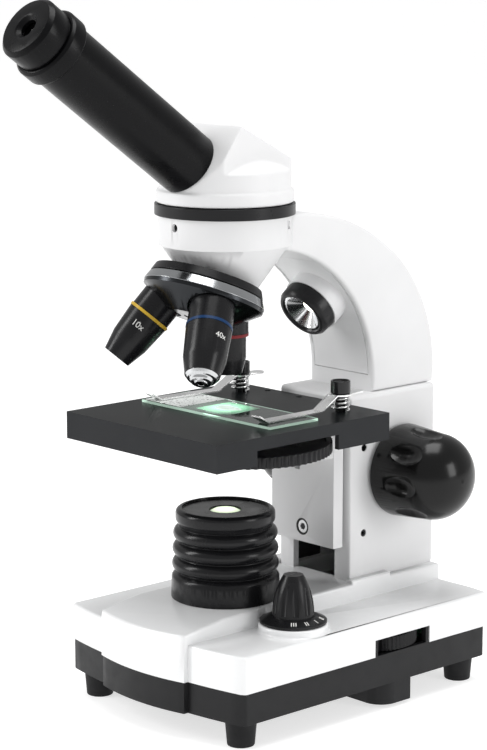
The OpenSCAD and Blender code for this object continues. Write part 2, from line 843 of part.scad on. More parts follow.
// A clip at its post, turned about it
module clip(turn) {
    rotate([0, 0, turn]) difference() {
        union() {
            along_x(clip_w) clip_profile();
            translate([0, 0, clip_z]) cylinder(clip_t, r = 4.6);
        }
        translate([0, 0, clip_z - 1]) cylinder(4, r = post_r + run_fit);
        translate([0, clip_tail - clip_w / 2, clip_z - 1]) difference() {
            translate([-clip_w, 0, 0]) cube([2 * clip_w, clip_w, 4]);
            translate([0, 0, -1]) cylinder(6, r = clip_w / 2);
        }
    }
}

module right_clip() color(steel) translate([clip_x, clip_y, 0]) clip(1);

module left_clip() color(steel) translate([-clip_x, clip_y, 0]) clip(-5);

module clip_posts() color(black_satin) {
    for (s = [-1, 1]) translate([s * clip_x, clip_y, 0]) {
        translate([0, 0, stage_z - plate_t]) cylinder(clip_z - stage_z + plate_t + 1.2, r = post_r);
        translate([0, 0, clip_z + clip_t + 0.2]) difference() {
            cylinder(5.1, r = 4);
            translate([0, 0, 4.4]) cylinder(2, r = 3.2);
        }
    }
}

// A plain sleeve stands for each coil spring
module clip_springs() color(steel) {
    for (s = [-1, 1]) translate([s * clip_x, clip_y, stage_z]) ring(3.9, 3.1, clip_z - stage_z - 0.1);
}

// ---------- nosepiece ----------

module nosepiece_mount() color(black_satin) {
    difference() {
        at_nose() translate([0, 0, -nose_split]) cylinder(nose_split - nose_top, r1 = 22.9, r2 = 21.5);
        cylinder(apex_z, r = 7.5);
        at_nose() translate([0, 0, -60]) cylinder(60, r = 3);
    }
}

module nosepiece_pivot() color(steel) {
    at_nose() {
        translate([0, 0, -nose_end + 2.5]) cylinder(nose_end - nose_top - 2.5, r = 3);
        translate([0, 0, -nose_end + 0.3]) cylinder(2.4, r = 5);
    }
}

module nosepiece_band() color(steel) {
    top = nose_split + nose_gap;
    at_nose() translate([0, 0, -nose_rim]) difference() {
        cylinder(nose_rim - top, r1 = nose_r, r2 = nose_r - 1.6);
        translate([0, 0, -eps]) cylinder(10, r = band_in_r);
    }
}

module nosepiece_body() color([0.35, 0.36, 0.38]) {
    top = nose_split + nose_gap;
    difference() {
        union() {
            at_nose() rotate_extrude() polygon([
                [0, -nose_end], [13, -nose_end], [nose_r - 0.4, -nose_rim - lip_t], [nose_r - 0.4, -nose_rim],
                [band_in_r, -nose_rim], [band_in_r, -top], [0, -top]
            ]);
            for (k = [0:2]) at_objective(k) translate([0, 0, -seat_d]) cylinder(6, r = 9.5);
        }
        for (k = [0:2]) at_objective(k) {
            translate([0, 0, -seat_d - 20]) cylinder(20, r = 9.7);
            translate([0, 0, -seat_d - 1]) cylinder(20, r = thread_r);
        }
        at_nose() {
            translate([0, 0, -60]) cylinder(60, r = 3 + run_fit);
            translate([0, 0, -nose_end - 1]) cylinder(4, r = 5.3);
            translate([0, 0, -nose_rim]) ring(2 * nose_r, band_in_r, nose_rim);
        }
    }
}

// Barrel of an objective from its seat down: each point is [radius, distance below the seat]
module objective(k, outline, lens_r) {
    tip = outline[len(outline) - 1];
    at_objective(k) translate([0, 0, -seat_d]) difference() {
        union() {
            rotate_extrude() polygon(concat([[0, 0]], [for (p = outline) [p[0], -p[1]]], [[0, -tip[1]]]));
            translate([0, 0, -eps]) cylinder(4.5, r = thread_r - 0.1);
        }
        translate([0, 0, -tip[1] + 3]) cylinder(60, r = 4.8);
        translate([0, 0, -tip[1] - 1]) cylinder(60, r = lens_r);
    }
}

// Coloured band let into a barrel
module magnification_ring(k, r, d) {
    at_objective(k) translate([0, 0, -seat_d - d - 0.6]) ring(r, r - 1, 1.2);
}

low_outline = [[9.3, 0], [9.3, 5.1], [8.4, 5.1], [8.4, 6.3], [8.4, 15], [6.8, 21.3]];
mid_outline = [[8.4, 0], [8.4, 8.1], [7.9, 8.1], [7.9, 9.3], [8.6, 9.3], [7.7, 21], [5.8, 29.2]];
high_outline = [[8.8, 0], [8.8, 9.6], [8.1, 9.6], [8.1, 10.8], [9, 10.8], [8.4, 24], [6.8, 31.3]];

module objective_4x() color(black_satin) objective(0, low_outline, 3.6);

module objective_10x() color(black_satin) objective(1, mid_outline, 2.6);

module objective_40x() color(black_satin) objective(2, high_outline, 3.4);

// Sprung front cell of the strongest objective
module objective_tip() color(steel) {
    at_objective(2) translate([0, 0, -seat_d - 31.3]) difference() {
        rotate_extrude() polygon([
            [0, 0], [6.6, 0], [5.6, -1.4], [4.6, -1.6], [4, -2.8], [2.6, -3], [2.4, -3.5], [0, -3.5]
        ]);
        translate([0, 0, -5]) cylinder(8, r = 1.2);
    }
}

module red_ring() color("crimson") magnification_ring(0, 9.4, 5.7);

module yellow_ring() color("gold") magnification_ring(1, 8.9, 8.7);

module blue_ring() color("royalblue") magnification_ring(2, 9.1, 10.2);

// ---------- head ----------

// Frame on the eyepiece tube's axis, with +Z towards the eye
module at_tube() {
    translate([0, 0, axis_z]) rotate([90 - tube_tilt, 0, 0]) children();
}

// Side view of the prism box: a face square to the tube, a ridge and a roof falling to the back
module head_profile() {
    foot_y = -face_d * cos(tube_tilt) - (axis_z + face_d * sin(tube_tilt) - collar_top) * tan(tube_tilt);
    ridge_z = collar_top + (ridge_y - foot_y) / tan(tube_tilt);
    back_y = head_r + 1;
    polygon([
        [foot_y, collar_top], [ridge_y, ridge_z],
        [back_y, ridge_z - (back_y - ridge_y) * tan(roof_slope)], [back_y, collar_top]
    ]);
}

module head_housing() color(white_paint) {
    shelf_l = 8;
    difference() {
        union() {
            translate([0, 0, head_z]) cylinder(collar_top - head_z, r = head_r + 1.1);
            intersection() {
                cylinder(300, r = head_r);
                along_x(80) head_profile();
                union() {
                    cylinder(rim_z, r = head_r);
                    translate([0, 0, rim_z])
                        cylinder(shelf_l, r1 = head_r, r2 = head_r - shelf_l / tan(shelf_slope));
                    block([-side_x, -40, rim_z - 1], [side_x, 40, 260]);
                }
            }
            translate([0, 0, cone_z + 1.4]) cylinder(head_z - cone_z, r = spigot_r);
        }
        translate([0, 0, cone_z]) cylinder(22, r = optic_r);
        block([-11, -12, collar_top - 2], [11, 12, 221]);
        at_tube() translate([0, 0, 6]) cylinder(40, r = socket_r);
    }
}

module head_prism() color(glass) {
    along_x(20) polygon([[-8, 208.2], [11, 208.2], [11.6, 213], [1, 220.6], [-5, 219]]);
}

module ocular_tube() color(black_satin) {
    step_d = face_d + tube_l - barrel_l - 1;
    at_tube() difference() {
        union() {
            translate([0, 0, face_d]) cylinder(tube_l, r = tube_r);
            translate([0, 0, socket_d + 4]) cylinder(face_d - socket_d - 4 + eps, r = socket_r);
        }
        translate([0, 0, socket_d]) cylinder(60 + tube_l, r = 8);
        translate([0, 0, step_d]) cylinder(60, r = barrel_r + run_fit);
    }
}

module eyepiece_body() color(black_satin) {
    end_d = face_d + tube_l + 0.1;
    at_tube() translate([0, 0, end_d]) difference() {
        union() {
            translate([0, 0, -barrel_l]) cylinder(barrel_l + 1, r = barrel_r);
            rotate_extrude() polygon([
                [0, 0], [flange_r - 0.8, 0], [flange_r, 0.8],
                [flange_r, flange_l - 1], [flange_r - 1, flange_l],
                [cap_r - 0.6, flange_l], [cap_r, flange_l + 0.6], [cap_r, flange_l + cap_l - 1.6],
                [cap_r - 1.6, flange_l + cap_l], [0, flange_l + cap_l]
            ]);
        }
        translate([0, 0, -barrel_l - 1]) cylinder(barrel_l + flange_l + cap_l - 2, r = 9.6);
        cylinder(40, r = eye_r);
        translate([0, 0, flange_l + cap_l - 1.4]) cylinder(1.5, r1 = eye_r, r2 = eye_r + 2);
    }
}

module eyepiece_lenses() color(glass) {
    at_tube() translate([0, 0, face_d + tube_l]) {
        translate([0, 0, flange_l + cap_l - 6.5]) cylinder(3.4, r = 9.5);
        translate([0, 0, -barrel_l + 2]) cylinder(4, r = 9.5);
    }
}

base_cover();
base_tray();
rubber_feet();
base_screws();
battery_cover();
battery_cells();
battery_contacts();
circuit_board();
dimmer_control();
dimmer_wheel();
selector_switch();
selector_knob();
illuminator_housing();
illuminator_lens();
led_emitters();
column_block();
guide_rails();
guide_screws();
arm();
arm_cover();
head_ring();
head_screws();
lamp_bezel();
lamp_reflector();
shaft_bushes();
pinion_shaft();
pinion_gear();
right_focus_knob();
left_focus_knob();
stage_plate();
stage_bracket();
focus_slider();
focus_rack();
bracket_screw();
specimen_slide();
slide_label();
cover_slip();
wheel_axle();
filter_wheel();
colour_filters();
clip_posts();
clip_springs();
right_clip();
left_clip();
nosepiece_mount();
nosepiece_pivot();
nosepiece_band();
nosepiece_body();
objective_4x();
objective_10x();
objective_40x();
objective_tip();
red_ring();
yellow_ring();
blue_ring();
head_housing();
head_prism();
ocular_tube();
eyepiece_body();
eyepiece_lenses();
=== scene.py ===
"""The microscope's looks: materials, fine pieces, stage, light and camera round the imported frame."""

import json
import math

import bmesh
import bpy
from mathutils import Matrix, Vector


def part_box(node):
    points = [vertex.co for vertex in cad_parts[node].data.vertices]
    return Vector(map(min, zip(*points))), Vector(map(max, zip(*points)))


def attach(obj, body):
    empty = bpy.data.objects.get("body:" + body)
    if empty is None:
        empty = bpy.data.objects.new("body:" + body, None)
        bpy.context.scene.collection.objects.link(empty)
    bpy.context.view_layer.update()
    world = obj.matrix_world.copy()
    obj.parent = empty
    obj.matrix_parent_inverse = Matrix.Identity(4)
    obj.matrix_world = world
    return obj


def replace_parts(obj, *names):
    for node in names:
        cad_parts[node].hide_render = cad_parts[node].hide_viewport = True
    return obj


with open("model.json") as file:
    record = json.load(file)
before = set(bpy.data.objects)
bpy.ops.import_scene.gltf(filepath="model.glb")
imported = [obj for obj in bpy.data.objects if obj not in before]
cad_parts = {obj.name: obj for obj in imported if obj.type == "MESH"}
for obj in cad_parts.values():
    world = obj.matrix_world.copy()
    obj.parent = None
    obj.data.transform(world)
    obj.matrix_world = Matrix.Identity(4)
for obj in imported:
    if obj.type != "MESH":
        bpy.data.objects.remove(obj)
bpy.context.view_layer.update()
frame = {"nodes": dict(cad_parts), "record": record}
MM = 0.001


# ---------- materials: helpers ----------

# Every material by name, the noise scales of broad patches and of wear, and the height of a fine grain
M = {}
BROAD = 45
WEAR = 160
FINE_BUMP = 0.05 * MM


class Graph:
    """A material's node tree, with short ways to add and join its nodes; M keeps it by name."""

    def __init__(self, name):
        self.mat = bpy.data.materials.new(name)
        self.mat.use_nodes = True
        self.tree = self.mat.node_tree
        self.inputs = self.tree.nodes["Principled BSDF"].inputs
        self.coords = self.add("ShaderNodeTexCoord").outputs["Object"]
        M[name] = self.mat

    def add(self, kind, **settings):
        made = self.tree.nodes.new(kind)
        for key, value in settings.items():
            setattr(made, key, value)
        return made

    def join(self, source, target):
        self.tree.links.new(source, target)

    def fix(self, **values):
        """Sets constant values on the shader; a name's underscores stand for spaces."""
        for key, value in values.items():
            self.inputs[key.replace("_", " ")].default_value = value

    def noise(self, scale, detail=3.0, stretch=(1, 1, 1)):
        """Noise of about 1/scale metres, optionally drawn out along an axis."""
        place = self.add("ShaderNodeMapping")
        place.inputs["Scale"].default_value = stretch
        self.join(self.coords, place.inputs["Vector"])
        cloud = self.add("ShaderNodeTexNoise")
        cloud.inputs["Scale"].default_value = scale
        cloud.inputs["Detail"].default_value = detail
        self.join(place.outputs["Vector"], cloud.inputs["Vector"])
        return cloud.outputs["Fac"]

    def spread(self, value, low, high, start=0.3, end=0.7):
        """Maps a value from start..end to low..high."""
        tool = self.add("ShaderNodeMapRange")
        tool.inputs["From Min"].default_value = start
        tool.inputs["From Max"].default_value = end
        tool.inputs["To Min"].default_value = low
        tool.inputs["To Max"].default_value = high
        self.join(value, tool.inputs["Value"])
        return tool.outputs["Result"]

    def blend(self, factor, first, second):
        """A colour between two, each a colour or another node's output."""
        tool = self.add("ShaderNodeMix", data_type="RGBA")
        for socket, value in ((6, first), (7, second)):
            if hasattr(value, "is_output"):
                self.join(value, tool.inputs[socket])
            else:
                tool.inputs[socket].default_value = (*value, 1)
        self.join(factor, tool.inputs[0])
        return tool.outputs[2]

    def bump(self, height, strength, distance=0.1 * MM):
        tool = self.add("ShaderNodeBump")
        tool.inputs["Strength"].default_value = strength
        tool.inputs["Distance"].default_value = distance
        self.join(height, tool.inputs["Height"])
        self.join(tool.outputs["Normal"], self.inputs["Normal"])

    def upward(self):
        """The vertical part of the surface's direction, from -1 to 1."""
        split = self.add("ShaderNodeSeparateXYZ")
        self.join(self.add("ShaderNodeNewGeometry").outputs["Normal"], split.inputs["Vector"])
        return split.outputs["Z"]

    def away_from(self, centre):
        """The distance from a point."""
        away = self.add("ShaderNodeVectorMath", operation="DISTANCE")
        away.inputs[1].default_value = centre
        self.join(self.coords, away.inputs[0])
        return away.outputs["Value"]


def surface(name, colour, rough, metal=0.0, grain=1500, grain_bump=0.1, vary=0.06, coat=0.0,
            stretch=(1, 1, 1), spec=0.5):
    """A finish with uneven colour and roughness, a fine grain and light wear."""
    graph = Graph(name)
    graph.fix(Metallic=metal, Coat_Weight=coat, Coat_Roughness=0.08, Specular_IOR_Level=spec)
    worn = tuple(min(1.0, c * (1 - 2 * vary) + 0.01 * vary) for c in colour)
    graph.join(graph.blend(graph.spread(graph.noise(BROAD, 4), 0, 1), colour, worn),
               graph.inputs["Base Color"])
    graph.join(graph.spread(graph.noise(WEAR, 5), rough * 0.85, min(1, rough * 1.2)),
               graph.inputs["Roughness"])
    graph.bump(graph.noise(grain, 2, stretch), grain_bump, FINE_BUMP)


def black(name, shade, rough, spec=0.24, **rest):
    """A deep black plastic or enamel with soft highlights."""
    surface(name, (shade, shade, shade + 0.001), rough, spec=spec, **rest)


def chrome(name, shade, rough, **rest):
    """A bare or plated metal, faintly cool."""
    surface(name, (shade, shade + 0.01, shade + 0.02), rough, metal=1, **rest)


def facing_shade(name, top, side, rough_top, rough_side):
    """A matte finish whose upward faces differ from its sides in painted shade and light, set by which way
    each face turns.
    """
    graph = Graph(name)
    up = graph.spread(graph.upward(), 0, 1, 0.5, 0.9)
    base = graph.blend(up, side, top)
    scuffed = tuple(c * 0.6 for c in side)
    worn = graph.blend(graph.spread(graph.noise(60, 4), 0, 0.25), base, scuffed)
    graph.join(worn, graph.inputs["Base Color"])
    graph.join(graph.spread(up, rough_side, rough_top, 0, 1), graph.inputs["Roughness"])
    graph.fix(Specular_IOR_Level=0.03)
    graph.bump(graph.noise(2500, 2), 0.12, FINE_BUMP)


def clear(name, colour):
    """Glass with faint smears."""
    graph = Graph(name)
    graph.fix(Transmission_Weight=1.0, IOR=1.5)
    smeared = tuple(c * 0.97 for c in colour)
    graph.join(graph.blend(graph.spread(graph.noise(70), 0, 1), colour, smeared),
               graph.inputs["Base Color"])
    graph.join(graph.spread(graph.noise(300, 4), 0.02, 0.07), graph.inputs["Roughness"])
    graph.bump(graph.noise(400, 2), 0.02)


def lit(name, colour, strength, fall, centre=None, reach=None):
    """A glowing face that falls off in soft patches, or from a centre to its rim."""
    graph = Graph(name)
    graph.fix(Base_Color=(*colour, 1), Emission_Color=(*colour, 1))
    weakest = strength * (1 - fall)
    if centre:
        level = graph.spread(graph.away_from(centre), strength, weakest, 0.3 * reach, reach)
    else:
        level = graph.spread(graph.noise(500, 4), weakest, strength)
    graph.join(level, graph.inputs["Emission Strength"])
    graph.join(graph.spread(graph.noise(900, 3), 0.25, 0.45), graph.inputs["Roughness"])
    graph.bump(graph.noise(900, 2), 0.05)


def glow_glass(name, centre, reach, rim_glow):
    """Lamp-lit clear glass: its cut edges glow, and its face glows round a centre."""
    graph = Graph(name)
    face = graph.spread(graph.away_from(centre), 0.2, 0.015, 3 * MM, reach)
    flat = graph.add("ShaderNodeMath", operation="ABSOLUTE")
    graph.join(graph.upward(), flat.inputs[0])
    rim = graph.spread(flat.outputs["Value"], rim_glow, 0, 0.3, 0.98)
    total = graph.add("ShaderNodeMath", operation="ADD")
    graph.join(face, total.inputs[0])
    graph.join(rim, total.inputs[1])
    graph.join(total.outputs["Value"], graph.inputs["Emission Strength"])
    graph.join(graph.blend(graph.spread(graph.noise(120), 0, 1), (0.8, 0.95, 0.86), (0.74, 0.92, 0.82)),
               graph.inputs["Base Color"])
    graph.fix(Emission_Color=(0.74, 1.0, 0.84, 1), Transmission_Weight=1.0, IOR=1.2)
    graph.join(graph.spread(graph.noise(200), 0.03, 0.1), graph.inputs["Roughness"])
    graph.bump(graph.noise(300, 2), 0.02)


def speckled(name, base, dots, scale, share=0.62):
    """Paper or enamel with scattered dots."""
    graph = Graph(name)
    graph.join(graph.blend(graph.spread(graph.noise(scale, 6), 0, 1, share, share + 0.03), base, dots),
               graph.inputs["Base Color"])
    graph.join(graph.spread(graph.noise(700), 0.4, 0.6), graph.inputs["Roughness"])
    graph.bump(graph.noise(1800, 2), 0.1)


# ---------- materials: one per slot, and a few of the scene's own ----------

# Shell, arm and head
surface("gloss_white", (0.85, 0.855, 0.86), 0.22, coat=0.2, grain=900, grain_bump=0.03, vary=0.012)
surface("cast_white", (0.745, 0.745, 0.75), 0.42, grain=2600, grain_bump=0.35, vary=0.02)

# Black plastics and enamels
black("satin_black", 0.009, 0.42, grain=2400, grain_bump=0.2)
black("foot_rubber", 0.008, 0.6, grain=1800, grain_bump=0.35)
black("control_black", 0.01, 0.3, grain=2200, grain_bump=0.12)
black("ribbed_black", 0.008, 0.24, grain=2200, grain_bump=0.08)
black("rail_grey", 0.012, 0.35, stretch=(1, 1, 0.1))
black("ring_black", 0.009, 0.3, grain=2600)
black("wheel_black", 0.01, 0.32, grain=2000)
black("post_black", 0.006, 0.14, spec=0.4)
black("objective_black", 0.007, 0.26, grain=1200, grain_bump=0.04)
surface("knob_black", (0.004, 0.004, 0.004), 0.19, grain=700, grain_bump=0.03, spec=0.25)
surface("tube_black", (0.002, 0.002, 0.0025), 0.28, grain=2600, grain_bump=0.15, spec=0.13)
surface("switch_plastic", (0.03, 0.03, 0.035), 0.45)
# Painted shade: the stage's upward faces are coloured darker than its sides
facing_shade("stage_black", (0.003, 0.004, 0.0045), (0.033, 0.034, 0.036), 0.3, 0.45)

# Metals
surface("dark_screw", (0.02, 0.02, 0.022), 0.35, metal=0.9)
surface("bright_screw", (0.85, 0.85, 0.86), 0.35, metal=0.3)
surface("contact_spring", (0.7, 0.7, 0.7), 0.3, metal=1)
surface("bush_brass", (0.6, 0.42, 0.16), 0.3, metal=1)
surface("plain_steel", (0.55, 0.55, 0.57), 0.28, metal=1, stretch=(1, 1, 0.1))
surface("clip_steel", (0.9, 0.9, 0.9), 0.2, metal=1, grain=900, stretch=(1, 0.1, 1))
surface("turret_grey", (0.035, 0.037, 0.04), 0.22, metal=1, grain=700, grain_bump=0.05)
chrome("reflector", 0.93, 0.16, grain=600, vary=0.08)
chrome("turret_chrome", 0.4, 0.16, grain=700, grain_bump=0.04)
chrome("tip_chrome", 0.6, 0.15)

# Coloured rings, cells, board, label and print
surface("ring_red", (0.2, 0.008, 0.012), 0.3, spec=0.24)
surface("ring_yellow", (0.62, 0.4, 0.04), 0.3, spec=0.24)
surface("ring_blue", (0.006, 0.035, 0.11), 0.3, spec=0.24)
speckled("battery_skin", (0.5, 0.34, 0.08), (0.3, 0.2, 0.05), 400)
speckled("board", (0.03, 0.2, 0.09), (0.25, 0.3, 0.12), 500)
speckled("label_paper", (0.85, 0.88, 0.86), (0.1, 0.1, 0.1), 900, 0.6)
speckled("ink_white", (0.72, 0.72, 0.7), (0.6, 0.6, 0.58), 500)

# Glass and lights
clear("filter_colours", (0.2, 0.45, 0.85))
clear("prism_glass", (0.9, 0.93, 0.97))
clear("lens_glass", (0.5, 0.6, 0.7))
slide_z = 121 * MM
lens_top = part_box("illuminator_lens")[1].z
glow_glass("slide_glass", (-8 * MM, 2 * MM, slide_z), 18 * MM, 0.42)
glow_glass("slip_glass", (-1 * MM, 2 * MM, slide_z), 11 * MM, 0.147)
lit("lamp_lens", (0.86, 1.0, 0.72), 1.5, 0.72, (0, 0, lens_top), 6.2 * MM)
lit("led", (1.0, 0.98, 0.85), 6.0, 0.1)
lit("specimen_glow", (0.85, 1.0, 0.92), 0.42, 0.6)

slots = {part["node"]: part["material_slot"] for part in frame["record"]["subparts"]}
bodies = frame["record"]["behaviour"]["bodies"]
body_of_node = {node: body for body, names in bodies.items() for node in names}


def paint(obj, mat):
    obj.data.materials.clear()
    obj.data.materials.append(mat)


for node, obj in frame["nodes"].items():
    paint(obj, M[slots[node]])
paint(frame["nodes"]["cover_slip"], M["slip_glass"])


# ---------- making pieces ----------


def added(name, data):
    """A new object in the scene."""
    obj = bpy.data.objects.new(name, data)
    bpy.context.scene.collection.objects.link(obj)
    return obj


def finished(bm, name, body, slot, smooth=32, mat=None):
    """Turns a bmesh into a piece that rides on a body."""
    data = bpy.data.meshes.new(name)
    bmesh.ops.recalc_face_normals(bm, faces=bm.faces)
    bm.to_mesh(data)
    bm.free()
    obj = added(name, data)
    for face in data.polygons:
        face.use_smooth = True
    data.set_sharp_from_angle(angle=math.radians(smooth))
    paint(obj, mat or M[slot])
    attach(obj, body)
    return obj


def welded(node):
    """A node's mesh with its seams closed and its flat faces whole."""
    bm = bmesh.new()
    bm.from_mesh(frame["nodes"][node].data)
    bmesh.ops.remove_doubles(bm, verts=bm.verts, dist=0.002 * MM)
    bmesh.ops.dissolve_limit(bm, angle_limit=math.radians(0.6), verts=bm.verts, edges=bm.edges)
    return bm


def copy_of(node, bm, ending, smooth=32):
    """A finished piece with a node's own body and slot."""
    return finished(bm, node + ending, body_of_node[node], slots[node], smooth)


# ---------- rounded edges ----------


def softened(node, width):
    """A copy of a node whose sharp edges are slightly rounded, shown in its place."""
    obj = copy_of(node, welded(node), "_soft")
    edge = obj.modifiers.new("edge", "BEVEL")
    edge.width = width * MM
    edge.segments = 2
    edge.limit_method = "ANGLE"
    edge.angle_limit = math.radians(34)
    edge.use_clamp_overlap = True
    edge.harden_normals = True
    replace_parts(obj, node)


for node, width in {
    "base_tray": 0.4, "guide_rails": 0.2, "head_ring": 0.3, "lamp_bezel": 0.25,
    "stage_plate": 0.35, "stage_bracket": 0.4, "focus_slider": 0.2, "filter_wheel": 0.12,
    "illuminator_housing": 0.25, "selector_knob": 0.15, "battery_cover": 0.3, "nosepiece_mount": 0.3,
    "nosepiece_band": 0.25, "nosepiece_body": 0.25, "objective_4x": 0.2, "objective_10x": 0.2,
    "objective_40x": 0.2, "objective_tip": 0.15, "ocular_tube": 0.3, "eyepiece_body": 0.2,
    "right_focus_knob": 0.3, "left_focus_knob": 0.3, "rubber_feet": 0.5, "clip_posts": 0.3,
    "right_clip": 0.12, "left_clip": 0.12, "specimen_slide": 0.12, "bracket_screw": 0.15,
}.items():
    softened(node, width)


def sharp_edges(bm, test):
    """The edges that turn by more than 40 degrees and pass a test on their two ends."""
    found = []
    for edge in bm.edges:
        if len(edge.link_faces) == 2 and edge.calc_face_angle(0) > math.radians(40):
            if test(edge.verts[0].co, edge.verts[1].co):
                found.append(edge)
    return found


def rounded(node, passes):
    """A copy of a node with chosen edges rounded: each pass is (width, segments, test)."""
    bm = welded(node)
    for width, segments, test in passes:
        edges = sharp_edges(bm, test)
        if edges:
            bmesh.ops.bevel(bm, geom=edges, offset=width * MM, offset_type="OFFSET", segments=segments,
                            profile=0.5, affect="EDGES", clamp_overlap=False, loop_slide=True)
    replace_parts(copy_of(node, bm, "_round"), node)


# The arm's and the raised centre deck's half widths, the levels beside the deck, and the deck's front
half_arm = 18.5 * MM
half_deck = 25 * MM
side_deck_z = 38 * MM
selector_pad_z = 41 * MM
deck_foot = side_deck_z + 1 * MM
nose_y = -44 * MM


def near(value, target, gap=0.06 * MM):
    return abs(value - target) < gap


def both_at(height):
    """A test for the edges at one height, outside the raised centre deck."""
    outside = half_deck + 0.05 * MM
    return lambda a, b: near(a.z, height) and near(b.z, height) and min(abs(a.x), abs(b.x)) > outside


def arm_side(a, b):
    """The arm's outline on its right and left faces."""
    return near(abs(a.x), half_arm) and near(abs(b.x), half_arm) and near(a.x, b.x)


def deck_side(a, b):
    """The long edges of the raised centre deck."""
    return near(abs(a.x), half_deck) and near(abs(b.x), half_deck) and min(a.z, b.z) > deck_foot


def deck_nose(a, b):
    """The level edges at the front end of the raised centre deck."""
    return max(a.y, b.y) < nose_y and near(a.z, b.z, 0.9 * MM) and min(a.z, b.z) > deck_foot


def box_edge(node):
    """A test for the edges where two outer planes of a node's box meet, apart from its lowest plane."""
    low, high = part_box(node)
    gap = 0.05 * MM

    def planes(point):
        sides = {"left": near(point.x, low.x, gap), "right": near(point.x, high.x, gap),
                 "front": near(point.y, low.y, gap), "back": near(point.y, high.y, gap),
                 "top": near(point.z, high.z, gap)}
        return {key for key, on in sides.items() if on}

    return lambda a, b: len(planes(a) & planes(b)) >= 2


rounded("arm", [(1.6, 4, arm_side)])
rounded("base_cover", [(1.1, 4, both_at(side_deck_z)), (0.9, 3, both_at(selector_pad_z)),
                       (1.0, 3, deck_side), (1.0, 3, deck_nose)])
rounded("column_block", [(1.6, 4, box_edge("column_block"))])


def melted(node, grid, passes):
    """A copy of a node rebuilt on a fine grid and eased, which rounds its edges."""
    obj = copy_of(node, welded(node), "_soft", smooth=60)
    cells = obj.modifiers.new("grid", "REMESH")
    cells.mode = "VOXEL"
    cells.voxel_size = grid * MM
    cells.use_smooth_shade = True
    ease = obj.modifiers.new("ease", "SMOOTH")
    ease.factor = 0.5
    ease.iterations = passes
    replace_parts(obj, node)


melted("head_housing", 0.5, 5)


# ---------- fine pieces ----------


def centre_of(node):
    low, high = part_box(node)
    return (Vector(low) + Vector(high)) / 2


def wire(bm, path, radius, sides=10):
    """A closed round wire along a path."""
    rings = []
    across = Vector((0, 0, 1))
    for i, point in enumerate(path):
        along = (path[min(i + 1, len(path) - 1)] - path[max(i - 1, 0)]).normalized()
        across = (across - across.dot(along) * along).normalized()
        other = along.cross(across)
        rings.append([bm.verts.new(point + radius * (math.cos(turn) * across + math.sin(turn) * other))
                      for turn in (math.tau * k / sides for k in range(sides))])
    for first, second in zip(rings, rings[1:]):
        for k in range(sides):
            following = (k + 1) % sides
            bm.faces.new((first[k], first[following], second[following], second[k]))
    bm.faces.new(rings[0])
    bm.faces.new(rings[-1][::-1])


def coil_springs():
    """An open coil round each clip post."""
    low, high = (Vector(v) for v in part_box("clip_springs"))
    thick, coils, steps = 0.5 * MM, 3.2, 32
    radius = (high.y - low.y) / 2 - thick
    middle = (low.y + high.y) / 2
    base, top = low.z + thick, high.z - thick
    count = int(coils * steps)
    bm = bmesh.new()
    for x in (low.x + radius + thick, high.x - radius - thick):
        path = []
        for i in range(count + 1):
            turn = math.tau * i / steps
            path.append(Vector((x + radius * math.cos(turn), middle + radius * math.sin(turn),
                                base + (top - base) * i / count)))
        wire(bm, path, thick)
    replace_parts(finished(bm, "coil_springs", "stage", "clip_steel", 60), "clip_springs")


def specimen():
    """The thin lit sample on the cover slip, with a wavy outline."""
    long_radius, short_radius, thick = 6.2 * MM, 3.6 * MM, 0.06 * MM
    lobes, wave, count = 3, 0.12, 72
    centre = centre_of("cover_slip")
    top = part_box("cover_slip")[1].z
    bm = bmesh.new()
    rings = []
    for z in (top, top + thick):
        rings.append([])
        for i in range(count):
            turn = math.tau * i / count
            r = 1 + wave * math.sin(lobes * turn + 1) + 0.5 * wave * math.sin((2 * lobes + 1) * turn)
            rings[-1].append(bm.verts.new((centre.x + long_radius * r * math.cos(turn),
                                           centre.y + short_radius * r * math.sin(turn), z)))
    for i in range(count):
        k = (i + 1) % count
        bm.faces.new((rings[0][i], rings[0][k], rings[1][k], rings[1][i]))
    bm.faces.new(rings[0][::-1])
    bm.faces.new(rings[1])
    finished(bm, "specimen", "stage", "slide_glass", mat=M["specimen_glow"])


def lettering(name, words, height, place, body, slot):
    """Thin raised characters: place maps (across, up, out) in metres to a point."""
    curve = bpy.data.curves.new(name, "FONT")
    curve.body = words
    curve.size = height
    curve.align_x = "CENTER"
    curve.align_y = "CENTER"
    curve.extrude = 0.03 * MM
    curve.resolution_u = 4
    made = added(name + "_curve", curve)
    data = bpy.data.meshes.new_from_object(made.evaluated_get(bpy.context.evaluated_depsgraph_get()))
    bm = bmesh.new()
    bm.from_mesh(data)
    bpy.data.objects.remove(made)
    bpy.data.meshes.remove(data)
    bpy.data.curves.remove(curve)
    bmesh.ops.remove_doubles(bm, verts=bm.verts, dist=0.001 * MM)
    for vert in bm.verts:
        vert.co = place(*vert.co)
    finished(bm, name, body, slot, 20, M["ink_white"])


joints = {joint["name"]: joint for joint in frame["record"]["behaviour"]["joints"]}
seats = 3


def on_barrel(seat, ring, drop, radius, taper, turn):
    """A map onto the barrel at a nosepiece seat, below its coloured ring; taper is its side's slope."""
    axis = Vector(joints["nosepiece_turn"]["axis"]).normalized()
    yaw = math.atan2(-axis.x, axis.y)
    tilt = Matrix.Rotation(math.tau * seat / seats, 3, axis) @ Matrix.Rotation(yaw, 3, "Z")
    centre = centre_of(ring)

    def place(across, up, out):
        angle = math.radians(turn) + across / radius
        r = radius + taper * up + out
        return centre + tilt @ Vector((r * math.cos(angle), r * math.sin(angle), up - drop))

    return place


